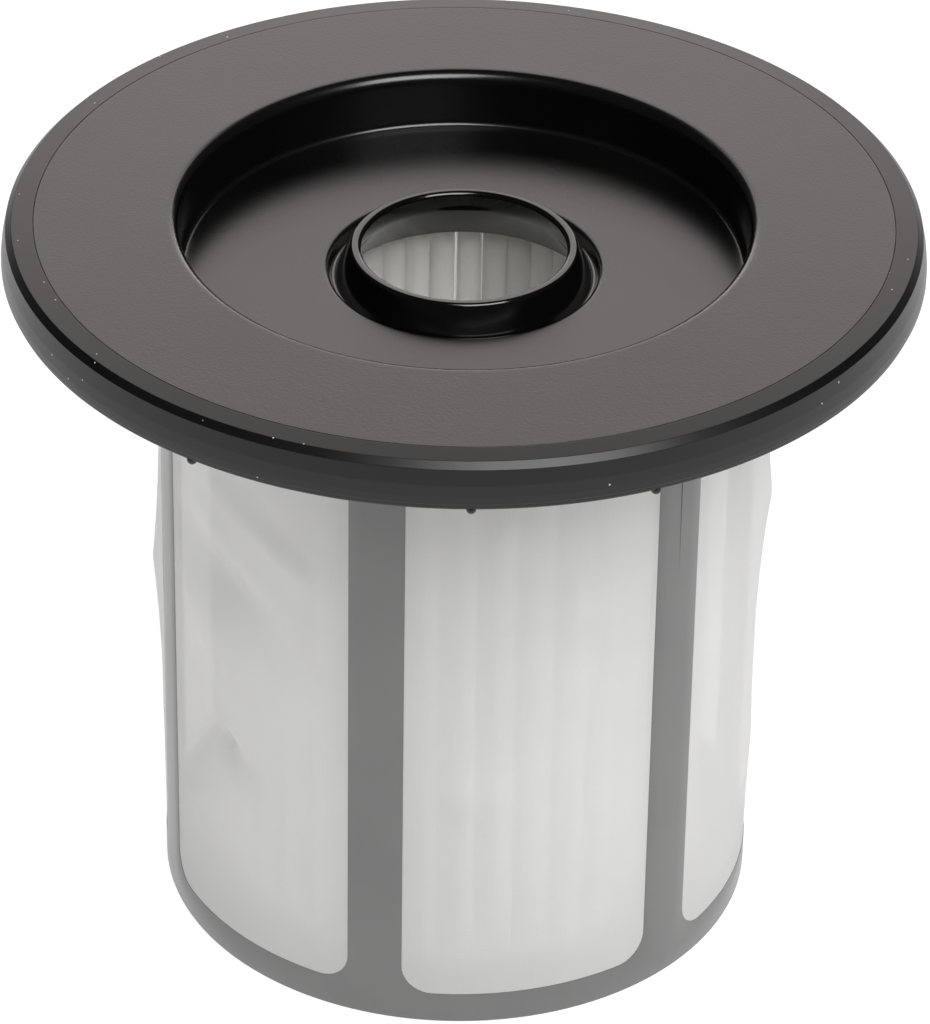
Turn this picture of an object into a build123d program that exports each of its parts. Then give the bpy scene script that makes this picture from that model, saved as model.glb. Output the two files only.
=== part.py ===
import os
from math import asin, atan2, cos, radians, sin

from build123d import *

# Vacuum cleaner filter: a mesh basket hangs under a round flange, with a pleated filter inside.
# Millimetres. The origin is the centre of the foot ring, +Z runs up the axis to the flange.
# Azimuths are degrees seen from above, from -Y (the front) towards +X.

# Whole part
overall_height = 118.4
seal_diameter = 140.0

# Flange plate with its recess, a single moulding
flange_thickness = 2.4
floor_thickness = 1.8
recess_radius = 43.2
recess_depth = 9.2
recess_draft = 0.2
recess_edge_fillet = 1.8
recess_corner_fillet = 0.9
plug_wall = 1.9
plug_chamfer = 0.6
tongue_reach = 2.2

# Outlet collar: a short straight mouth that flares into a skirt under the floor
collar_bore_radius = 15.65
collar_wall = 1.55
collar_rise = 3.6
collar_land = 2.4
collar_rim_chamfer = 0.5
collar_flare = 5.35
skirt_wall = 1.5
skirt_reach = 4.8
moat_width = 3.6
moat_depth = 1.7
moat_floor_width = 0.9
moat_edge_fillet = 1.0

# Rubber seal: a channel that wraps the flange's edge
seal_width = 5.0
seal_height = 7.8
seal_wall = 2.4
strip_width = 3.35
strip_fall = 0.25
shoulder_bevel = 0.93
belly_depth = 5.0
seal_foot_chamfer = 0.6
lip_thickness = 1.1
lip_gap = 0.2
under_lip_width = 6.2
under_lip_thickness = 1.5
step_height = 1.2
step_depth = 0.35
nub_diameter = 1.4
nub_drop = 0.8
nub_azimuths = (-33.9, 1.3, 23.8)

# Basket: a ribbed cylinder with six windows and a closed floor
basket_wall = 1.5
basket_floor = 1.6
foot_recess = 1.0
foot_width = 3.4
foot_chamfer = 0.5
rib_count = 6
rib_width = 8.8
rib_azimuth = -15.2
bottom_ring = 5.4
top_band = 14.6
window_corner = 4.7

# Mesh: one strip moulded into the basket wall, its ends meeting inside one rib
mesh_thickness = 0.3
mesh_cover = 0.4
mesh_bite = 2.6
seam_gap = 0.8
seam_slit_width = 0.35
seam_slit_depth = 0.25
seam_slit_length = 42.0

# Pleated filter and the two glue beds that its ends stand in
pleat_count = 40
media_thickness = 0.7
media_outer_gap = 5.8
media_inner_gap = 1.2
upper_bed_depth = 3.0
lower_bed_depth = 4.3
channel_rib = 1.0
channel_lip = 0.6

# Fits
plug_clearance = 0.2
tongue_clearance = 0.1
mesh_clearance = 0.05
bed_clearance = 0.1

# Heights that several pieces share
flange_top = overall_height
flange_under = flange_top - flange_thickness
recess_floor = flange_top - recess_depth
plug_under = recess_floor - floor_thickness
basket_floor_top = foot_recess + basket_floor
lower_bed_top = basket_floor_top + lower_bed_depth
upper_bed_under = plug_under - upper_bed_depth

# Radii that several pieces share
seal_radius = seal_diameter / 2
lip_radius = seal_radius - seal_width
tongue_radius = lip_radius + tongue_reach
plug_radius = recess_radius + plug_wall
basket_inner = plug_radius + plug_clearance
basket_radius = basket_inner + basket_wall
collar_radius = collar_bore_radius + collar_wall
moat_radius = collar_radius + moat_width
skirt_inner = collar_bore_radius + collar_flare
skirt_radius = skirt_inner + skirt_wall
media_inner = skirt_radius + media_inner_gap
media_outer = basket_inner - media_outer_gap
bed_inner = skirt_radius + bed_clearance
bed_outer = media_outer + media_thickness / 2
channel_inner = bed_outer + bed_clearance
channel_outer = channel_inner + channel_rib
mesh_outer = basket_radius - mesh_cover
mesh_inner = mesh_outer - mesh_thickness
seam_azimuth = rib_azimuth + 360 / rib_count


def corner(outline, point):
    return outline.vertices().sort_by_distance(point)[0]


def facing(azimuth):
    turn = radians(azimuth)
    return Plane(origin=(0, 0, 0), x_dir=(cos(turn), sin(turn), 0), z_dir=(sin(turn), -cos(turn), 0))


# Flange plate: flange, recess, outlet collar and flared skirt, turned from one section
recess_edge = (recess_radius, flange_top)
recess_corner = (recess_radius - recess_draft, recess_floor)
moat_edge = (moat_radius, recess_floor)
moat_bottom = recess_floor - moat_depth
moat_corner = (moat_radius - moat_edge_fillet / 2, moat_bottom)
collar_foot = (moat_corner[0] - moat_floor_width, moat_bottom)
collar_top = recess_floor + collar_rise
collar_rim_outer = (collar_radius, collar_top)
collar_rim_inner = (collar_bore_radius, collar_top)
flare_start = (collar_bore_radius, collar_top - collar_land)
skirt_end = plug_under - skirt_reach
plug_corner = (plug_radius, plug_under)

with BuildPart() as top_plate:
    with BuildSketch(Plane.XZ) as plate_section:
        with BuildLine():
            Polyline(
                (tongue_radius, flange_under),
                (tongue_radius, flange_top - lip_thickness),
                (lip_radius, flange_top - lip_thickness),
                (lip_radius, flange_top),
                recess_edge,
                recess_corner,
                moat_edge,
                moat_corner,
                collar_foot,
                collar_rim_outer,
                collar_rim_inner,
                flare_start,
                (skirt_inner, skirt_end),
                (skirt_radius, skirt_end),
                (skirt_radius, plug_under),
                plug_corner,
                (plug_radius, flange_under),
                close=True,
            )
        make_face()
        fillet(corner(plate_section, recess_edge), recess_edge_fillet)
        fillet(corner(plate_section, recess_corner), recess_corner_fillet)
        fillet(corner(plate_section, moat_edge), moat_edge_fillet)
        chamfer(corner(plate_section, collar_rim_outer), collar_rim_chamfer)
        chamfer(corner(plate_section, collar_rim_inner), collar_rim_chamfer)
        chamfer(corner(plate_section, plug_corner), plug_chamfer)
    revolve(axis=Axis.Z)
    # Outer wall of the glue channel under the floor
    with BuildSketch(Plane.XY.offset(plug_under)):
        Circle(channel_outer)
        Circle(channel_inner, mode=Mode.SUBTRACT)
    extrude(amount=-(upper_bed_depth + channel_lip))
top_plate.part.label = "top_plate"

# Rim seal: lip over the tongue, bevelled shoulder, wall that swells to a belly, lip under the flange
seal_bottom = flange_top - seal_height
strip_edge = (lip_radius + strip_width, flange_top - strip_fall)
shoulder = (strip_edge[0] + shoulder_bevel, strip_edge[1] - shoulder_bevel)
seal_foot = (seal_radius - step_depth, seal_bottom)
seal_toe = (seal_radius - seal_wall, seal_bottom)
slot_radius = tongue_radius + tongue_clearance
under_lip_radius = seal_radius - under_lip_width
under_lip_bottom = flange_under - under_lip_thickness
nub_circle = seal_foot[0] - nub_diameter / 2

with BuildPart() as rim_seal:
    with BuildSketch(Plane.XZ) as seal_section:
        with BuildLine():
            Polyline(
                (lip_radius + lip_gap, flange_top - lip_thickness),
                (lip_radius + lip_gap, flange_top),
                strip_edge,
                shoulder,
                (seal_radius, flange_top - belly_depth),
                (seal_radius, seal_bottom + step_height),
                (seal_foot[0], seal_bottom + step_height),
                seal_foot,
                seal_toe,
                (seal_toe[0], under_lip_bottom),
                (under_lip_radius, under_lip_bottom),
                (under_lip_radius, flange_under),
                (slot_radius, flange_under),
                (slot_radius, flange_top - lip_thickness),
                close=True,
            )
        make_face()
        chamfer(corner(seal_section, seal_foot), seal_foot_chamfer)
    revolve(axis=Axis.Z)
    # Small moulding nubs along the lower edge
    with BuildSketch(Plane.XY.offset(seal_bottom - nub_drop)):
        for azimuth in nub_azimuths:
            with PolarLocations(nub_circle, 1, start_angle=azimuth - 90):
                Circle(nub_diameter / 2)
    extrude(amount=nub_drop + seal_foot_chamfer)
rim_seal.part.label = "rim_seal"

# Basket frame: wall and floor, then the windows, the slot for the mesh and the glue channel
window_top = flange_under - top_band
window_height = window_top - bottom_ring
rib_half_angle = asin(rib_width / 2 / basket_radius)
window_width = 2 * basket_radius * sin(radians(180 / rib_count) - rib_half_angle)
window_faces = [facing(rib_azimuth + 360 / rib_count * (k + 0.5)) for k in range(rib_count)]
mesh_bottom = bottom_ring - mesh_bite
mesh_top = window_top + mesh_bite
foot_edge = (basket_radius, 0)

with BuildPart() as basket_frame:
    with BuildSketch(Plane.XZ) as basket_section:
        with BuildLine():
            Polyline(
                (0, foot_recess),
                (basket_radius - foot_width, foot_recess),
                (basket_radius - foot_width, 0),
                foot_edge,
                (basket_radius, flange_under),
                (basket_inner, flange_under),
                (basket_inner, basket_floor_top),
                (0, basket_floor_top),
                close=True,
            )
        make_face()
        chamfer(corner(basket_section, foot_edge), foot_chamfer)
    revolve(axis=Axis.Z)
    with BuildSketch(*window_faces):
        with Locations((0, bottom_ring + window_height / 2)):
            RectangleRounded(window_width, window_height, window_corner)
    extrude(amount=basket_radius, mode=Mode.SUBTRACT)
    with BuildSketch(Plane.XY.offset(mesh_bottom - mesh_clearance)):
        Circle(mesh_outer + mesh_clearance)
        Circle(mesh_inner - mesh_clearance, mode=Mode.SUBTRACT)
        with PolarLocations(mesh_outer, 1, start_angle=seam_azimuth - 90):
            Rectangle(basket_wall * 2, seam_gap - mesh_clearance * 2, mode=Mode.SUBTRACT)
    extrude(amount=mesh_top - mesh_bottom + mesh_clearance * 2, mode=Mode.SUBTRACT)
    # Slit where the ends of the mesh strip meet, open at the outside of the rib
    with BuildSketch(Plane.XY.offset(flange_under)):
        with PolarLocations(basket_radius, 1, start_angle=seam_azimuth - 90):
            Rectangle(seam_slit_depth * 2, seam_slit_width)
    extrude(amount=-seam_slit_length, mode=Mode.SUBTRACT)
    with BuildSketch(Plane.XY.offset(basket_floor_top)):
        Circle(channel_outer)
        Circle(channel_inner, mode=Mode.SUBTRACT)
        Circle(skirt_radius)
        Circle(skirt_inner, mode=Mode.SUBTRACT)
    extrude(amount=lower_bed_depth + channel_lip)
basket_frame.part.label = "basket_frame"

# Mesh sleeve: the strip bent round to a cylinder, open at the seam
with BuildPart() as mesh_sleeve:
    with BuildSketch(Plane.XY.offset(mesh_bottom)):
        Circle(mesh_outer)
        Circle(mesh_inner, mode=Mode.SUBTRACT)
        with PolarLocations(mesh_outer, 1, start_angle=seam_azimuth - 90):
            Rectangle(basket_wall * 2, seam_gap, mode=Mode.SUBTRACT)
    extrude(amount=mesh_top - mesh_bottom)
mesh_sleeve.part.label = "mesh_sleeve"

# Pleated media: one sheet folded to and fro, with straight flanks between blunt folds
half_pitch = radians(180 / pleat_count)
half_sheet = media_thickness / 2
fold_outer = media_outer - half_sheet
fold_inner = media_inner + half_sheet
lean_outer = atan2(fold_inner * sin(half_pitch), fold_outer - fold_inner * cos(half_pitch))
lean_inner = lean_outer + half_pitch
outer_tip = (fold_outer + half_sheet * sin(lean_outer), half_sheet * cos(lean_outer))
inner_tip = (fold_inner - half_sheet * sin(lean_inner), half_sheet * cos(lean_inner))


def around(fold, tip, middle, valley):
    points = []
    for k in range(pleat_count):
        turn = 360 / pleat_count * (k + fold)
        points.append(Vector(tip[0], -tip[1]).rotate(Axis.Z, turn))
        points.append(Vector(middle, 0).rotate(Axis.Z, turn))
        points.append(Vector(*tip).rotate(Axis.Z, turn))
        points.append(Vector(valley, 0).rotate(Axis.Z, turn + 180 / pleat_count))
    return points


with BuildPart() as pleated_media:
    with BuildSketch(Plane.XY.offset(lower_bed_top)):
        with BuildLine():
            Polyline(around(0, outer_tip, media_outer, fold_inner + half_sheet / sin(lean_inner)), close=True)
        make_face()
        with BuildLine():
            Polyline(around(0.5, inner_tip, media_inner, fold_outer - half_sheet / sin(lean_outer)), close=True)
        make_face(mode=Mode.SUBTRACT)
    extrude(amount=upper_bed_under - lower_bed_top)
pleated_media.part.label = "pleated_media"

# Glue beds: rings between the channel walls, one under the plate and one on the basket floor
with BuildPart() as upper_glue_bed:
    with BuildSketch(Plane.XY.offset(upper_bed_under)):
        Circle(bed_outer)
        Circle(bed_inner, mode=Mode.SUBTRACT)
    extrude(amount=upper_bed_depth)
upper_glue_bed.part.label = "upper_glue_bed"

with BuildPart() as lower_glue_bed:
    with BuildSketch(Plane.XY.offset(basket_floor_top)):
        Circle(bed_outer)
        Circle(bed_inner, mode=Mode.SUBTRACT)
    extrude(amount=lower_bed_depth)
lower_glue_bed.part.label = "lower_glue_bed"

pieces = (top_plate, rim_seal, basket_frame, mesh_sleeve, pleated_media, upper_glue_bed, lower_glue_bed)
os.makedirs("parts", exist_ok=True)
for piece in pieces:
    export_step(piece.part, f"parts/{piece.part.label}.step")
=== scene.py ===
import math

import bmesh
import bpy
from mathutils import Matrix, Vector


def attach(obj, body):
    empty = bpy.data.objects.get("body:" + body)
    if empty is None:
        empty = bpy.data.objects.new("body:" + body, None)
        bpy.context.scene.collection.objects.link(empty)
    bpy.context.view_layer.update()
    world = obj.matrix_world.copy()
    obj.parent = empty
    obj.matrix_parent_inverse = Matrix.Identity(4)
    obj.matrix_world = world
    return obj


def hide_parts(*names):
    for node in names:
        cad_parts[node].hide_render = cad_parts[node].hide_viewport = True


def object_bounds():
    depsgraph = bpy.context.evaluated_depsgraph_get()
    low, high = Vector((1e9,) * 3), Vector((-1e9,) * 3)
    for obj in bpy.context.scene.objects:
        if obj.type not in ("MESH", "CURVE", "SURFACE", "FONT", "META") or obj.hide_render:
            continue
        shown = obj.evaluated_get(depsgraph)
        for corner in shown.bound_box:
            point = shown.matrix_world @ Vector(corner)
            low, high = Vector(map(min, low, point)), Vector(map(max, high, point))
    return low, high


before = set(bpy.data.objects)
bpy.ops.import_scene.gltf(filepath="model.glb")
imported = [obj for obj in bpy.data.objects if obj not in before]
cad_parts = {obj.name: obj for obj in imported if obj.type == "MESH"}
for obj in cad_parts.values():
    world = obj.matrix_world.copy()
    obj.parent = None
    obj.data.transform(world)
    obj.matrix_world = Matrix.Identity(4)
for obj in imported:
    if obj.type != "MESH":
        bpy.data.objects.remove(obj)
cadLow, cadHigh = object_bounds()
mm = 0.001
top = cadHigh.z / mm
print("frame loaded, height in mm", round(top, 2))


class Sock:
    # wraps an output socket, so that arithmetic on it adds Math nodes
    def __init__(self, graph, out):
        self.graph = graph
        self.out = out

    def maths(self, operation, *values):
        return self.graph.node("ShaderNodeMath", {"operation": operation}, dict(enumerate(values)))

    def __add__(self, other):
        return self.maths("ADD", self, other)

    def __sub__(self, other):
        return self.maths("SUBTRACT", self, other)

    def __rsub__(self, other):
        return self.maths("SUBTRACT", other, self)

    def __mul__(self, other):
        return self.maths("MULTIPLY", self, other)

    def __truediv__(self, other):
        return self.maths("DIVIDE", self, other)

    def __rtruediv__(self, other):
        return self.maths("DIVIDE", other, self)

    def __pow__(self, other):
        return self.maths("POWER", self, other)

    def __abs__(self):
        return self.maths("ABSOLUTE", self)

    __radd__ = __add__
    __rmul__ = __mul__

    def beside(self, name):  # another output of the same node
        return Sock(self.graph, self.out.node.outputs[name])


class Graph:
    # a shader or geometry tree, emptied, that nodes are added to
    def __init__(self, tree):
        self.tree = tree
        tree.nodes.clear()

    def node(self, kind, settings=None, values=None, out=0):
        made = self.tree.nodes.new(kind)
        for name, value in (settings or {}).items():
            setattr(made, name, value)
        for name, value in (values or {}).items():
            if isinstance(value, Sock):
                self.tree.links.new(value.out, made.inputs[name])
            else:
                made.inputs[name].default_value = value
        return Sock(self, made.outputs[out]) if len(made.outputs) else made

    def noise(self, place, scale, detail=2.0, seed=0.0):
        return self.node(
            "ShaderNodeTexNoise", {"noise_dimensions": "4D"},
            {"Vector": place, "W": seed, "Scale": scale, "Detail": detail})

    def ease(self, value, low, high, first=0.0, last=1.0):
        return self.node(
            "ShaderNodeMapRange", {"interpolation_type": "SMOOTHSTEP"},
            {0: value, 1: low, 2: high, 3: first, 4: last})

    def tint(self, factor, first, second):
        return self.node(
            "ShaderNodeMix", {"data_type": "RGBA"}, {0: factor, 6: (*first, 1), 7: (*second, 1)}, out=2)

    def bump(self, height, strength, depth):
        return self.node(
            "ShaderNodeBump", None, {"Height": height, "Strength": strength, "Distance": depth})

    def close(self, shader):
        self.node("ShaderNodeOutputMaterial", None, {"Surface": shader})


def newLook(name):
    material = bpy.data.materials.new(name)
    material.use_nodes = True
    return material, Graph(material.node_tree)


# moulded black plastic: fine grain on the flats, glossier walls and edges
plasticLook = {
    "deep": (0.0018, 0.0017, 0.0016), "faded": (0.0032, 0.0030, 0.0029), "collarEdge": 0.0209,
    "flangeRough": 0.33, "recessRough": 0.27, "wallRough": 0.23, "collarRough": 0.12, "shine": 0.65,
    "cloudScale": 60, "grainScale": 2300, "grainDepth": 0.00007, "grainStrength": 0.42,
    "recessDepth": 9.2, "flatBand": (0.03, 0.12),
}


def blackPlastic():
    look = plasticLook
    material, g = newLook("blackPlastic")
    place = g.node("ShaderNodeTexCoord", out="Object")
    x = g.node("ShaderNodeSeparateXYZ", None, {0: place}, out="X")
    y, z = x.beside("Y"), x.beside("Z")
    radius = (x * x + y * y) ** 0.5
    outside = g.ease(radius, look["collarEdge"] - 0.0006, look["collarEdge"])
    near, far = look["flatBand"]  # how far a rounded edge may fall away and still count as flat
    floorTop = top - look["recessDepth"]
    flange = g.ease(z, (top - far) * mm, (top - near) * mm)
    recess = g.ease(z, (floorTop + near) * mm, (floorTop + far) * mm, 1.0, 0.0)
    flat = flange + recess * outside
    clouds = g.noise(place, look["cloudScale"], 3.0, 1.3)
    grain = g.noise(place, look["grainScale"], 2.0, 4.1)
    colour = g.tint(g.ease(clouds, 0.3, 0.7), look["deep"], look["faded"])
    level = look["recessRough"] + flange * (look["flangeRough"] - look["recessRough"])
    edges = look["collarRough"] + outside * (look["wallRough"] - look["collarRough"])
    rough = edges + flat * (level - edges) + (clouds - 0.5) * 0.05 * flat
    relief = g.bump(grain * flat * (flange * 0.8 + 0.2), look["grainStrength"], look["grainDepth"])
    g.close(g.node("ShaderNodeBsdfPrincipled", None, {
        "Base Color": colour, "Roughness": rough, "Normal": relief, "Specular IOR Level": look["shine"]}))
    return material


# black rubber of the rim, a little duller, with lint specks caught on it
rubberLook = {
    "deep": (0.0020, 0.0020, 0.0021), "faded": (0.0036, 0.0035, 0.0035), "lint": (0.62, 0.62, 0.6),
    "rough": 0.36, "shine": 0.48, "speckScale": 420, "speckSize": 0.07, "speckShare": 0.5,
    "cloudScale": 90, "skinScale": 1800, "skinStrength": 0.18, "skinDepth": 0.00002,
}


def blackRubber():
    look = rubberLook
    material, g = newLook("blackRubber")
    place = g.node("ShaderNodeTexCoord", out="Object")
    clouds = g.noise(place, look["cloudScale"], 3.0, 2.2)
    skin = g.noise(place, look["skinScale"], 2.0, 6.4)
    cells = g.node(
        "ShaderNodeTexVoronoi", None, {"Vector": place, "Scale": look["speckScale"]}, out="Distance")
    chosen = g.node("ShaderNodeSeparateColor", None, {0: cells.beside("Color")}, out=0)
    speck = g.ease(cells, look["speckSize"], look["speckSize"] * 0.6) * g.ease(
        chosen, look["speckShare"], look["speckShare"] + 0.02)
    base = g.tint(g.ease(clouds, 0.3, 0.7), look["deep"], look["faded"])
    colour = g.node(
        "ShaderNodeMix", {"data_type": "RGBA"}, {0: speck, 6: base, 7: (*look["lint"], 1)}, out=2)
    rough = look["rough"] + (clouds - 0.5) * 0.08 + speck * 0.4
    relief = g.bump(skin, look["skinStrength"], look["skinDepth"])
    g.close(g.node("ShaderNodeBsdfPrincipled", None, {
        "Base Color": colour, "Roughness": rough, "Normal": relief, "Specular IOR Level": look["shine"]}))
    return material


# mid grey satin plastic of the basket
greyLook = {
    "deep": (0.118, 0.118, 0.117), "faded": (0.140, 0.140, 0.138), "rough": 0.32, "shine": 0.9,
    "cloudScale": 45, "grainScale": 2200, "grainStrength": 0.2, "grainDepth": 0.00002,
}


def greyPlastic():
    look = greyLook
    material, g = newLook("greyPlastic")
    place = g.node("ShaderNodeTexCoord", out="Object")
    clouds = g.noise(place, look["cloudScale"], 4.0, 3.7)
    grain = g.noise(place, look["grainScale"], 2.0, 8.9)
    colour = g.tint(g.ease(clouds, 0.28, 0.72), look["deep"], look["faded"])
    rough = look["rough"] + (clouds - 0.5) * 0.12
    relief = g.bump(grain, look["grainStrength"], look["grainDepth"])
    g.close(g.node("ShaderNodeBsdfPrincipled", None, {
        "Base Color": colour, "Roughness": rough, "Normal": relief, "Specular IOR Level": look["shine"]}))
    return material


# fine woven mesh, see-through enough that the pleats show behind it
weaveLook = {
    "deep": (0.94, 0.938, 0.93), "pale": (0.965, 0.963, 0.955), "pitch": 0.00028, "cover": 0.90,
    "coverSwing": 0.05, "glow": 0.40, "rough": 0.62, "shine": 0.3,
    "cloudScale": 70, "threadStrength": 0.12, "threadDepth": 0.00003,
}


def whiteMesh():
    look = weaveLook
    material, g = newLook("whiteMesh")
    strip = g.node("ShaderNodeUVMap", {"uv_map": "strip"})
    across = g.node("ShaderNodeSeparateXYZ", None, {0: strip}, out="X")
    along = across.beside("Y")
    turns = 2 * math.pi / look["pitch"]
    warp = (across * turns).maths("SINE", across * turns)
    weft = (along * turns).maths("SINE", along * turns)
    threads = warp.maths("MAXIMUM", warp, weft)  # 1 on a thread's crown, lower in the holes
    cover = look["cover"] + threads * look["coverSwing"] - look["coverSwing"] * 0.5
    clouds = g.noise(strip, look["cloudScale"], 3.0, 5.5)
    colour = g.tint(g.ease(clouds, 0.3, 0.7), look["deep"], look["pale"])
    relief = g.bump(warp * weft, look["threadStrength"], look["threadDepth"])
    cloth = g.node("ShaderNodeBsdfPrincipled", None, {
        "Base Color": colour, "Roughness": look["rough"], "Normal": relief,
        "Specular IOR Level": look["shine"]})
    glow = g.node("ShaderNodeBsdfTranslucent", None, {"Color": (*look["pale"], 1), "Normal": relief})
    threadLook = g.node("ShaderNodeMixShader", None, {0: look["glow"], 1: cloth, 2: glow})
    g.close(g.node("ShaderNodeMixShader", None, {
        0: cover, 1: g.node("ShaderNodeBsdfTransparent"), 2: threadLook}))
    return material


# white nonwoven filter sheet
mediaLook = {
    "deep": (0.95, 0.948, 0.93), "pale": (0.975, 0.972, 0.955), "glow": 0.56, "rough": 0.85, "shine": 0.2,
    "fibreScale": 900, "fibreStrength": 0.3, "fibreDepth": 0.00006,
}


def whiteMedia():
    look = mediaLook
    material, g = newLook("whiteMedia")
    place = g.node("ShaderNodeTexCoord", out="Object")
    fibres = g.noise(place, look["fibreScale"], 5.0, 7.7)
    colour = g.tint(g.ease(fibres, 0.3, 0.7), look["deep"], look["pale"])
    relief = g.bump(fibres, look["fibreStrength"], look["fibreDepth"])
    sheet = g.node("ShaderNodeBsdfPrincipled", None, {
        "Base Color": colour, "Roughness": look["rough"], "Normal": relief,
        "Specular IOR Level": look["shine"]})
    glow = g.node("ShaderNodeBsdfTranslucent", None, {"Color": (*look["pale"], 1), "Normal": relief})
    g.close(g.node("ShaderNodeMixShader", None, {0: look["glow"], 1: sheet, 2: glow}))
    return material


# cured casting glue at the pleats' ends
glueLook = {
    "deep": (0.70, 0.68, 0.62), "pale": (0.80, 0.79, 0.74), "rough": 0.4,
    "rippleScale": 120, "rippleStrength": 0.3, "rippleDepth": 0.0002,
}


def paleGlue():
    look = glueLook
    material, g = newLook("paleGlue")
    place = g.node("ShaderNodeTexCoord", out="Object")
    clouds = g.noise(place, look["rippleScale"], 3.0, 9.3)
    colour = g.tint(g.ease(clouds, 0.3, 0.7), look["deep"], look["pale"])
    relief = g.bump(clouds, look["rippleStrength"], look["rippleDepth"])
    g.close(g.node("ShaderNodeBsdfPrincipled", None, {
        "Base Color": colour, "Roughness": look["rough"] + (clouds - 0.5) * 0.2, "Normal": relief}))
    return material


plastic = blackPlastic()
rubber = blackRubber()
greyMoulding = greyPlastic()
meshCloth = whiteMesh()
filterSheet = whiteMedia()
glue = paleGlue()
print("materials made")


def newPiece(name, mesh, material):
    piece = bpy.data.objects.new(name, mesh)
    bpy.context.collection.objects.link(piece)
    if not mesh.materials:
        mesh.materials.append(material)
    return piece


def smoothBut(mesh, angle=34):
    mesh.shade_smooth()
    mesh.set_sharp_from_angle(angle=math.radians(angle))


def settle(piece):
    # turns modifiers into a plain mesh
    bpy.context.view_layer.update()
    depsgraph = bpy.context.evaluated_depsgraph_get()
    solid = bpy.data.meshes.new_from_object(piece.evaluated_get(depsgraph), depsgraph=depsgraph)
    old = piece.data
    piece.modifiers.clear()
    piece.data = solid
    bpy.data.meshes.remove(old)
    solid.name = piece.name


def seat(piece, node):
    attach(piece, "root")
    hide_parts(node)
    print(piece.name, "made,", len(piece.data.polygons), "faces")


def outlineOf(corners, held=0.35, stepAngle=9):
    # corners are (radius, height, rounding); each long edge gets a support point near its ends
    arcs = []
    count = len(corners)
    for k, (r, z, rounding) in enumerate(corners):
        point = Vector((r, z))
        back = Vector(corners[k - 1][:2]) - point
        ahead = Vector(corners[(k + 1) % count][:2]) - point
        if not rounding:
            arcs.append([point])
            continue
        half = back.angle(ahead) / 2
        centre = point + (back.normalized() + ahead.normalized()).normalized() * (rounding / math.sin(half))
        start = point + back.normalized() * (rounding / math.tan(half)) - centre
        sweep = math.pi - 2 * half
        if start.x * (point - centre).y - start.y * (point - centre).x < 0:
            sweep = -sweep
        steps = max(3, math.ceil(abs(math.degrees(sweep)) / stepAngle))
        arcs.append([centre + Matrix.Rotation(sweep * i / steps, 2) @ start for i in range(steps + 1)])
    outline = []
    for k, arc in enumerate(arcs):
        outline += arc
        here, there = arc[-1], arcs[(k + 1) % count][0]
        run = there - here
        if run.length > 4 * held:
            outline += [here + run.normalized() * held, there - run.normalized() * held]
    return outline


def turned(outline, segments=240):
    # a closed outline of (radius, height) in mm, turned about the axis
    form = bmesh.new()
    rings = []
    for radius, height in outline:
        if radius < 0.001:
            rings.append([form.verts.new((0, 0, height * mm))])
            continue
        turns = [2 * math.pi * k / segments for k in range(segments)]
        rings.append([form.verts.new((
            radius * mm * math.sin(a), -radius * mm * math.cos(a), height * mm)) for a in turns])
    for one, two in zip(rings, rings[1:] + rings[:1]):
        for k in range(segments):
            n = (k + 1) % segments
            corners = (one[k % len(one)], one[n % len(one)], two[n % len(two)], two[k % len(two)])
            corners = list(dict.fromkeys(corners))
            if len(corners) > 2:
                form.faces.new(corners)
    bmesh.ops.recalc_face_normals(form, faces=form.faces)
    return form


def meshFrom(form, name):
    mesh = bpy.data.meshes.new(name)
    form.to_mesh(mesh)
    form.free()
    return mesh


# flange plate: (radius, depth under the top face, rounding) round the section
plateShape = {
    "corners": (
        (67.2, 2.4, 0), (67.2, 1.1, 0), (65.0, 1.1, 0), (65.0, 0.0, 0.06),
        (43.2, 0.0, 1.8), (43.0, 9.2, 0.9), (20.8, 9.2, 1.0), (20.05, 10.9, 0.12), (19.65, 10.9, 0.16),
        (17.2, 5.6, 0.62), (15.65, 5.6, 0.74), (15.65, 8.0, 5.0), (21.0, 15.8, 0.2), (22.5, 15.8, 0.2),
        (22.5, 11.0, 0), (39.95, 11.0, 0), (39.95, 14.6, 0.2), (40.95, 14.6, 0.2), (40.95, 11.0, 0),
        (45.1, 11.0, 0.6), (45.1, 2.4, 0),
    ),
}


def buildPlate():
    outline = outlineOf([(r, top - depth, rounding) for r, depth, rounding in plateShape["corners"]])
    mesh = meshFrom(turned(outline), "flangePlate")
    smoothBut(mesh)
    piece = newPiece("flange_plate", mesh, plastic)
    seat(piece, "top_plate")


# rim seal, with the bevel along its shoulder and small moulding nubs under it
sealShape = {
    "corners": (
        (65.04, 1.1, 0), (65.04, 0.0, 0.08), (68.35, 0.25, 0.1), (69.28, 1.18, 0.14), (69.8, 3.6, 2.0),
        (70.0, 5.4, 2.0), (70.0, 6.6, 0.15), (69.65, 6.75, 0.15), (69.65, 7.5, 0.5), (69.2, 7.8, 0.2),
        (67.6, 7.8, 0.2), (67.6, 3.9, 0), (63.8, 3.9, 0.3), (63.8, 2.4, 0), (67.3, 2.4, 0), (67.3, 1.1, 0),
    ),
    "nubAzimuths": (-33.9, 1.3, 23.8), "nubRadius": 68.95, "nubSize": 0.8, "nubDepth": 7.8,
    "segments": 280,
}


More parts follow.
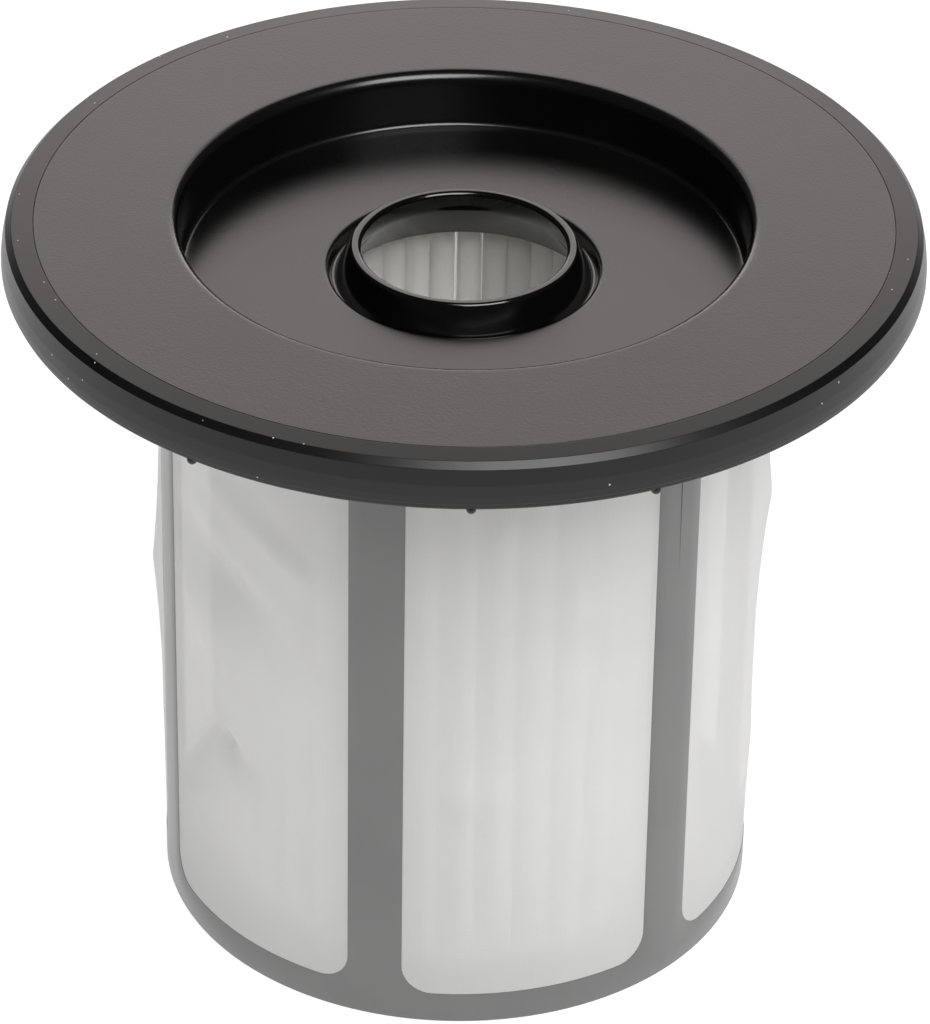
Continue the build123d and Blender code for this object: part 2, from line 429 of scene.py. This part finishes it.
def nubTree():
    tree = bpy.data.node_groups.new("mouldingNubs", "GeometryNodeTree")
    g = Graph(tree)
    face = tree.interface
    face.new_socket("Seal", in_out="INPUT", socket_type="NodeSocketGeometry")
    sizes = {name: face.new_socket(name, in_out="INPUT", socket_type=kind).identifier for name, kind in (
        ("Places", "NodeSocketObject"), ("Nub size", "NodeSocketFloat"), ("Finish", "NodeSocketMaterial"))}
    face.new_socket("Seal", in_out="OUTPUT", socket_type="NodeSocketGeometry")
    given = g.node("NodeGroupInput", out="Seal")
    places = g.node(
        "GeometryNodeObjectInfo", {"transform_space": "ORIGINAL"}, {"Object": given.beside("Places")},
        out="Geometry")
    nub = g.node("GeometryNodeMeshUVSphere", None, {"Segments": 16, "Rings": 10, "Radius": 1.0}, out="Mesh")
    nub = g.node("GeometryNodeSetShadeSmooth", None, {"Geometry": nub})
    drops = g.node("GeometryNodeInstanceOnPoints", None, {
        "Points": places, "Instance": nub, "Scale": given.beside("Nub size")})
    real = g.node("GeometryNodeRealizeInstances", None, {"Geometry": drops})
    both = g.node("GeometryNodeJoinGeometry", None, {"Geometry": real})
    g.tree.links.new(given.out, both.out.node.inputs["Geometry"])
    done = g.node("GeometryNodeSetMaterial", None, {"Geometry": both, "Material": given.beside("Finish")})
    g.node("NodeGroupOutput", None, {"Seal": done})
    return tree, sizes


def buildSeal():
    shape = sealShape
    outline = outlineOf([(r, top - depth, rounding) for r, depth, rounding in shape["corners"]], held=0.2)
    mesh = meshFrom(turned(outline, shape["segments"]), "rimSeal")
    smoothBut(mesh, 28)
    piece = newPiece("rim_rubber", mesh, rubber)
    dots = bpy.data.meshes.new("nubPlaces")
    dots.from_pydata([(
        shape["nubRadius"] * mm * math.sin(math.radians(a)),
        -shape["nubRadius"] * mm * math.cos(math.radians(a)),
        (top - shape["nubDepth"]) * mm) for a in shape["nubAzimuths"]], [], [])
    places = bpy.data.objects.new("nubPlaces", dots)
    tree, sizes = nubTree()
    nodes = piece.modifiers.new("nubs", "NODES")
    nodes.node_group = tree
    nodes[sizes["Places"]] = places
    nodes[sizes["Nub size"]] = shape["nubSize"] * mm
    nodes[sizes["Finish"]] = rubber
    settle(piece)
    bpy.data.objects.remove(places)
    seat(piece, "rim_seal")


# basket: one bay with half a rib on each side, repeated round the axis
basketShape = {
    "radius": 46.8, "wall": 1.5, "bays": 6, "ribWidth": 8.8, "ribAzimuth": -15.2, "height": 116.0,
    "sill": 5.4, "head": 101.4, "corner": 4.8, "edgeRound": 0.2,
    "cornerSteps": 10, "sideSteps": 26, "endSteps": 14, "floorSegments": 180,
    "floor": (
        (0, 1.0, 0), (43.4, 1.0, 0.3), (43.4, 0.0, 0.3), (45.6, 0.0, 0), (45.6, 2.6, 0), (40.95, 2.6, 0),
        (40.95, 7.5, 0.2), (39.95, 7.5, 0.2), (39.95, 2.6, 0), (22.5, 2.6, 0), (22.5, 7.5, 0.2),
        (21.0, 7.5, 0.2), (21.0, 2.6, 0), (0, 2.6, 0),
    ),
    "slitAzimuth": 44.8, "slitWidth": 0.24, "slitDepth": 0.25, "slitLength": 42.0,
}


def bayMesh(shape):
    radius, height = shape["radius"], shape["height"]
    edge = radius * math.pi / shape["bays"]
    half = edge - radius * math.asin(shape["ribWidth"] / 2 / radius)
    sill, head, corner = shape["sill"], shape["head"], shape["corner"]
    pairs = []  # a point on the window's edge and the point of the bay's edge that it runs out to
    for side, above, sideFirst in ((1, 1, True), (-1, 1, False), (-1, 0, True), (1, 0, False)):
        s = side * (half - corner)
        z = head - corner if above else sill + corner
        end = height if above else 0.0
        start = {(1, 1): 0, (-1, 1): 90, (-1, 0): 180, (1, 0): 270}[(side, above)]
        steps = shape["cornerSteps"]
        for i in range(steps + 1):
            turn = math.radians(start + 90 * i / steps)
            reach = i / steps if sideFirst else 1 - i / steps
            if reach <= 0.5:
                out = (side * edge, z + (end - z) * reach * 2)
            else:
                out = (s + (side * edge - s) * (1 - reach) * 2, end)
            pairs.append(((s + corner * math.cos(turn), z + corner * math.sin(turn)), out))
        # straight run to the next corner
        lengths = shape["endSteps"] if sideFirst else shape["sideSteps"]
        (s0, z0), out0 = pairs[-1]
        if sideFirst:
            s1, z1 = -s0, z0
        else:
            s1, z1 = s0, (sill + corner if above else head - corner)
        for i in range(1, lengths):
            f = i / lengths
            s2, z2 = s0 + (s1 - s0) * f, z0 + (z1 - z0) * f
            out = (s2, end) if sideFirst else (side * edge, z2)
            pairs.append(((s2, z2), out))
    form = bmesh.new()
    rings = []
    for f in (0, 0.5, 1):
        ring = []
        for inner, outer in pairs:
            s = inner[0] + (outer[0] - inner[0]) * f
            z = inner[1] + (outer[1] - inner[1]) * f
            ring.append(form.verts.new((
                radius * mm * math.sin(s / radius), -radius * mm * math.cos(s / radius), z * mm)))
        rings.append(ring)
    for one, two in zip(rings, rings[1:]):
        for k in range(len(pairs)):
            n = (k + 1) % len(pairs)
            form.faces.new((one[k], two[k], two[n], one[n]))
    bmesh.ops.remove_doubles(form, verts=form.verts, dist=1e-7)
    return meshFrom(form, "basketBay")


def roundTree(name):
    # repeats the piece's mesh round the axis, welds the copies and lets them sway a little
    tree = bpy.data.node_groups.new(name, "GeometryNodeTree")
    g = Graph(tree)
    face = tree.interface
    face.new_socket("Part", in_out="INPUT", socket_type="NodeSocketGeometry")
    sizes = {name: face.new_socket(name, in_out="INPUT", socket_type=kind).identifier for name, kind in (
        ("Count", "NodeSocketInt"), ("First turn", "NodeSocketFloat"), ("Sway", "NodeSocketFloat"),
        ("Finish", "NodeSocketMaterial"))}
    face.new_socket("Ring", in_out="OUTPUT", socket_type="NodeSocketGeometry")
    given = g.node("NodeGroupInput", out="Part")
    count = given.beside("Count")
    spots = g.node("GeometryNodeMeshLine", None, {"Count": count, "Offset": (0, 0, 0)})
    turn = g.node("GeometryNodeInputIndex") * (2 * math.pi) / count + given.beside("First turn")
    spin = g.node("FunctionNodeEulerToRotation", None, {
        "Euler": g.node("ShaderNodeCombineXYZ", None, {"Z": turn})})
    copies = g.node("GeometryNodeInstanceOnPoints", None, {
        "Points": spots, "Instance": given, "Rotation": spin})
    real = g.node("GeometryNodeRealizeInstances", None, {"Geometry": copies})
    welded = g.node("GeometryNodeMergeByDistance", None, {"Geometry": real, "Distance": 1e-6})
    x = g.node("ShaderNodeSeparateXYZ", None, {0: g.node("GeometryNodeInputPosition")}, out="X")
    y, z = x.beside("Y"), x.beside("Z")
    waves, twist = 45, 3  # how fast the sway turns, up the height and round the axis
    lean = z * waves + x.maths("ARCTAN2", y, x) * twist
    drift = lean.maths("SINE", lean) * given.beside("Sway")
    shift = g.node("ShaderNodeCombineXYZ", None, {"X": y * drift * -1, "Y": x * drift})
    swayed = g.node("GeometryNodeSetPosition", None, {"Geometry": welded, "Offset": shift})
    done = g.node("GeometryNodeSetMaterial", None, {"Geometry": swayed, "Material": given.beside("Finish")})
    g.node("NodeGroupOutput", None, {"Ring": done})
    return tree, sizes


def repeatRound(piece, count, firstTurn, sway, finish):
    tree, sizes = roundTree(piece.name + "Ring")
    nodes = piece.modifiers.new("ring", "NODES")
    nodes.node_group = tree
    for name, value in (
            ("Count", count), ("First turn", math.radians(firstTurn)), ("Sway", sway), ("Finish", finish)):
        nodes[sizes[name]] = value


def buildBasket():
    shape = basketShape
    piece = newPiece("basket", bayMesh(shape), greyMoulding)
    repeatRound(piece, shape["bays"], shape["ribAzimuth"] + 180 / shape["bays"], 0.0, greyMoulding)
    wall = piece.modifiers.new("wall", "SOLIDIFY")
    wall.thickness = shape["wall"] * mm
    wall.offset = -1
    rounding = piece.modifiers.new("edges", "BEVEL")
    rounding.width = shape["edgeRound"] * mm
    rounding.segments = 2
    rounding.limit_method = "ANGLE"
    rounding.angle_limit = math.radians(50)
    settle(piece)
    floorForm = turned(outlineOf(shape["floor"], held=0.3), shape["floorSegments"])
    floorMesh = meshFrom(floorForm, "basketFloor")
    floorPiece = newPiece("basketFloor", floorMesh, greyMoulding)
    blade = bmesh.new()
    bmesh.ops.create_cube(blade, size=1)
    middle = (shape["height"] - shape["slitLength"] / 2 + 1) * mm
    spot = Matrix.Rotation(math.radians(shape["slitAzimuth"]), 4, "Z") @ Matrix.Translation(
        (0, -shape["radius"] * mm, middle))
    size = Matrix.Diagonal((
        shape["slitWidth"] * mm, shape["slitDepth"] * 2 * mm, (shape["slitLength"] + 2) * mm, 1))
    bmesh.ops.transform(blade, matrix=spot @ size, verts=blade.verts)
    lean = (spot @ Vector((0, -1, 0, 0))).to_3d() * shape["slitDepth"] * mm
    # its lower end leans out, so that the slit runs out downwards
    bmesh.ops.translate(blade, vec=lean, verts=[v for v in blade.verts if v.co.z < middle])
    bladePiece = newPiece("slitBlade", meshFrom(blade, "slitBlade"), greyMoulding)
    for name, other, operation in (("floor", floorPiece, "UNION"), ("slit", bladePiece, "DIFFERENCE")):
        joined = piece.modifiers.new(name, "BOOLEAN")
        joined.object = other
        joined.operation = operation
        joined.solver = "EXACT"
    settle(piece)
    for tool in (floorPiece, bladePiece):
        bpy.data.objects.remove(tool)
    smoothBut(piece.data, 30)
    seat(piece, "basket_frame")


# mesh strip round the basket, held at the windows' edges and slack between them
sleeveShape = {
    "radius": 46.68, "low": 2.8, "high": 104.0, "seamAzimuth": 44.8, "seamGap": 0.8,
    "columns": 560, "rows": 112, "window": (20.1, 5.4, 101.4), "firstWindow": 14.8, "windowTurn": 60,
    # each window's slackness, then its soft folds: (across, up) to (across, up), width, height, in mm
    "windows": (
        (0.4, ((-8, 78, 19, 75, 5, 1.4), (-19, 44, -2, 43, 5, 1.1), (2, 66, 18, 66, 4, -0.7),
               (-12, 96, 2, 90, 6, 0.7))),
        (0.3, ((10, 86, 14, 56, 12, 1.6), (-16, 9, 2, 13, 3, 0.5), (-17, 60, 0, 42, 5, 0.5),
               (-8, 30, 12, 24, 6, 0.4))),
        (0.8, ((-14, 80, 12, 50, 7, 0.8), (-8, 30, 14, 22, 6, 0.5))),
        (0.7, ((-12, 30, 12, 60, 7, 0.7), (-12, 80, 10, 88, 6, 0.5))),
        (0.4, ((11, 70, 13, 40, 12, 1.3), (-15, 70, 4, 46, 6, 0.8), (-8, 24, 12, 30, 6, 0.5))),
        (-0.6, ((-25, 71, 12, 46, 4.5, 1.5), (-24, 79, 18, 59, 4.5, -2.8), (-9, 88, 26, 73, 3, 1.1),
                (-17, 41, 3, 34, 4.5, -3.8), (-24, 25, 3, 23, 3.5, 1.2), (-4, 98, 16, 94, 5, 0.4),
                (4, 36, 18, 28, 6, 0.7))),
    ),
}


def slack(shape, azimuth, z):
    half, sill, head = shape["window"]
    count = len(shape["windows"])
    k = round((azimuth - shape["firstWindow"]) / shape["windowTurn"])
    s = math.radians(azimuth - shape["firstWindow"] - shape["windowTurn"] * k) * shape["radius"]
    across = 1 - (s / half) ** 2
    upright = 1 - ((z - (sill + head) / 2) / ((head - sill) / 2)) ** 2
    if across <= 0 or upright <= 0:
        return 0.0
    puff, folds = shape["windows"][k % count]
    out = puff * across * min(1, upright * 1.5)
    for s0, z0, s1, z1, width, height in folds:
        run = Vector((s1 - s0, z1 - z0))
        here = Vector((s - s0, z - z0))
        along = here.dot(run) / run.length_squared
        off = (here - run * along).length / width
        ends = max(0.0, 1 - abs(along - 0.5) * 1.1)
        out += height * math.exp(-off * off) * ends * ends
    for rise in (min(1, across * 1.5), min(1, upright * 4)):  # eased, so that no crease shows
        out *= rise * rise * (3 - 2 * rise)
    return out


def buildSleeve():
    shape = sleeveShape
    mesh = bpy.data.meshes.new("meshSleeve")
    gap = math.degrees(shape["seamGap"] / 2 / shape["radius"])
    first = shape["seamAzimuth"] + gap
    span = 360 - 2 * gap
    points, strips, faces = [], [], []
    columns, rows = shape["columns"], shape["rows"]
    for i in range(columns + 1):
        azimuth = first + span * i / columns
        turn = math.radians(azimuth)
        for j in range(rows + 1):
            z = shape["low"] + (shape["high"] - shape["low"]) * j / rows
            radius = (shape["radius"] + slack(shape, azimuth, z)) * mm
            points.append((radius * math.sin(turn), -radius * math.cos(turn), z * mm))
            strips.append((math.radians(span) * i / columns * shape["radius"] * mm, z * mm))
    for i in range(columns):
        for j in range(rows):
            a = i * (rows + 1) + j
            b = a + rows + 1
            faces.append((a, b, b + 1, a + 1))
    mesh.from_pydata(points, [], faces)
    layer = mesh.uv_layers.new(name="strip")
    for loop in mesh.loops:
        layer.data[loop.index].uv = strips[loop.vertex_index]
    mesh.shade_smooth()
    piece = newPiece("mesh_cloth", mesh, meshCloth)
    seat(piece, "mesh_sleeve")


# pleated filter sheet, folded to and fro: round folds at the axis side, straight flanks, round outer folds
pleatShape = {
    "pleats": 40, "outer": 39.15, "inner": 24.05, "low": 6.9, "high": 104.4, "innerFold": 1.84,
    "firstTurn": 7.3, "sway": 0.004, "foldSteps": 7, "flankSteps": 4, "rows": 14,
}


def pleatLine(shape):
    # half of one pleat in plan, from the middle of an inner fold to the middle of an outer one
    halfPitch = math.pi / shape["pleats"]
    inner, outer, a = shape["inner"], shape["outer"], shape["innerFold"]
    # the outer fold's radius that keeps the flank straight
    b = (outer * math.sin(halfPitch) - a) / (math.sin(halfPitch) + math.cos(halfPitch))
    steps = [math.pi / 2 * i / shape["foldSteps"] for i in range(shape["foldSteps"] + 1)]
    line = [Vector((a * math.sin(t), inner + a - a * math.cos(t))) for t in steps]
    crown = [Vector((-b * math.cos(t), outer - b + b * math.sin(t))) for t in steps]
    crown = [Matrix.Rotation(-halfPitch, 2) @ p for p in crown]
    run = crown[0] - line[-1]
    line += [line[-1] + run * i / shape["flankSteps"] for i in range(1, shape["flankSteps"])]
    return line + crown


def buildPleats():
    shape = pleatShape
    half = pleatLine(shape)
    line = [Vector((-p.x, p.y)) for p in reversed(half)] + half[1:]
    rows = shape["rows"]
    points, faces = [], []
    for p in line:
        for j in range(rows + 1):
            z = shape["low"] + (shape["high"] - shape["low"]) * j / rows
            points.append((p.x * mm, -p.y * mm, z * mm))
    for i in range(len(line) - 1):
        for j in range(rows):
            a = i * (rows + 1) + j
            b = a + rows + 1
            faces.append((a, b, b + 1, a + 1))
    mesh = bpy.data.meshes.new("pleat")
    mesh.from_pydata(points, [], faces)
    piece = newPiece("pleated_filter", mesh, filterSheet)
    repeatRound(piece, shape["pleats"], shape["firstTurn"], shape["sway"], filterSheet)
    settle(piece)
    piece.data.shade_smooth()
    seat(piece, "pleated_media")
    length = sum((b - a).length for a, b in zip(line, line[1:])) * shape["pleats"] * mm


# glue beds, with a slight fillet where the glue climbs its channel
glueShape = {
    "upper_glue": ("upper_glue_bed", (
        (22.6, 107.4, 0), (22.6, 104.2, 0.15), (23.4, 104.4, 0.8), (39.1, 104.4, 0.8), (39.85, 104.2, 0.15),
        (39.85, 107.4, 0))),
    "lower_glue": ("lower_glue_bed", (
        (22.6, 2.6, 0), (22.6, 7.1, 0.15), (23.4, 6.9, 0.8), (39.1, 6.9, 0.8), (39.85, 7.1, 0.15),
        (39.85, 2.6, 0))),
}


def buildGlue():
    for name, (node, corners) in glueShape.items():
        mesh = meshFrom(turned(outlineOf(corners), segments=160), name)
        smoothBut(mesh)
        seat(newPiece(name, mesh, glue), node)


buildPlate()
buildSeal()
buildBasket()
buildSleeve()
buildPleats()
buildGlue()

# floor, lights and camera
stageLook = {
    "floorRadius": 7.0, "sink": 0.0002, "bounce": 0.84, "white": 0.93, "shade": 0.22, "fill": 0.04,
}


def buildStage():
    look = stageLook
    form = bmesh.new()
    bmesh.ops.create_circle(form, cap_ends=True, radius=look["floorRadius"], segments=96)
    bmesh.ops.translate(form, vec=(0, 0, -look["sink"]), verts=form.verts)
    material, g = newLook("paleFloor")
    rays = g.node("ShaderNodeLightPath", out="Is Camera Ray")
    seen = rays + rays.beside("Is Glossy Ray") + rays.beside("Is Transmission Ray")
    seen = seen.maths("MINIMUM", seen, 1.0)
    white = g.node("ShaderNodeEmission", None, {"Strength": look["white"]})
    shaded = g.node("ShaderNodeBsdfDiffuse", None, {"Color": (look["shade"],) * 3 + (1,)})
    shown = g.node("ShaderNodeAddShader", None, {0: white, 1: shaded})
    plain = g.node("ShaderNodeBsdfDiffuse", None, {"Color": (look["bounce"],) * 3 + (1,)})
    g.close(g.node("ShaderNodeMixShader", None, {0: seen, 1: plain, 2: shown}))
    floor = newPiece("floor", meshFrom(form, "floor"), material)
    world = bpy.data.worlds.new("studio")
    bpy.context.scene.world = world
    world.use_nodes = True
    w = Graph(world.node_tree)
    sky = w.node("ShaderNodeBackground", None, {"Color": (1, 1, 1, 1), "Strength": look["fill"]})
    w.node("ShaderNodeOutputWorld", None, {"Surface": sky})


# soft boxes: azimuth from the front towards the right, height angle, distance, width, height, brightness
# and colour; the strips lie below the flange's top, so that they light only the basket's sides
lampShape = {
    "backBox": (180, 31, 1.30, 0.95, 0.62, 1.80, (1.0, 0.93, 0.91)),
    "backLow": (180, 11, 1.30, 0.95, 0.20, 3.2, (1.0, 0.95, 0.93)),
    "keyBox": (24, 53, 1.30, 0.82, 0.80, 7.0, (1.0, 1.0, 1.0)),
    "frontStrip": (0, -4.5, 0.75, 1.10, 0.10, 2.6, (1.0, 1.0, 1.0)),
    "rightStrip": (84, -4.5, 0.75, 0.80, 0.10, 9.5, (1.0, 1.0, 1.0)),
    "leftStrip": (-84, -4.5, 0.75, 0.80, 0.10, 8.6, (1.0, 1.0, 1.0)),
    "backStrip": (180, -4.5, 0.75, 1.60, 0.10, 9.0, (1.0, 1.0, 1.0)),
}


def buildLamps():
    aim = Vector((0, 0, top * mm))
    for name, (azimuth, rise, distance, width, height, brightness, colour) in lampShape.items():
        a, e = math.radians(azimuth), math.radians(rise)
        away = Vector((math.sin(a) * math.cos(e), -math.cos(a) * math.cos(e), math.sin(e)))
        data = bpy.data.lights.new(name, "AREA")
        data.shape = "RECTANGLE"
        data.size, data.size_y = width, height
        data.energy = brightness * math.pi * width * height
        data.color = colour
        lamp = bpy.data.objects.new(name, data)
        bpy.context.collection.objects.link(lamp)
        lamp.location = aim + away * distance
        lamp.rotation_euler = away.to_track_quat("Z", "Y").to_euler()
        lamp.visible_camera = False
        lamp.visible_glossy = not name.endswith("Strip")  # strips only fill, with no stripes on the seal


cameraShape = {
    "lens": 194.4, "distance": 0.8647, "elevation": 33.58, "roll": 0.89, "aim": 0.06421,
    "shift": 4.94 / 1024,
}


def buildCamera():
    shape = cameraShape
    data = bpy.data.cameras.new("photoCamera")
    data.sensor_width = 36
    data.lens = shape["lens"]
    data.shift_x = shape["shift"]
    data.clip_start, data.clip_end = 0.01, 50
    camera = bpy.data.objects.new("photoCamera", data)
    bpy.context.collection.objects.link(camera)
    e = math.radians(shape["elevation"])
    away = Vector((0, -math.cos(e), math.sin(e)))
    camera.matrix_world = (
        Matrix.Translation(Vector((0, 0, shape["aim"])) + away * shape["distance"])
        @ Matrix.Rotation(math.pi / 2 - e, 4, "X") @ Matrix.Rotation(math.radians(shape["roll"]), 4, "Z"))
    bpy.context.scene.camera = camera


buildStage()
buildLamps()
buildCamera()
bpy.context.scene.view_settings.view_transform = "Standard"
print("stage, lamps and camera set")

bpy.context.view_layer.update()
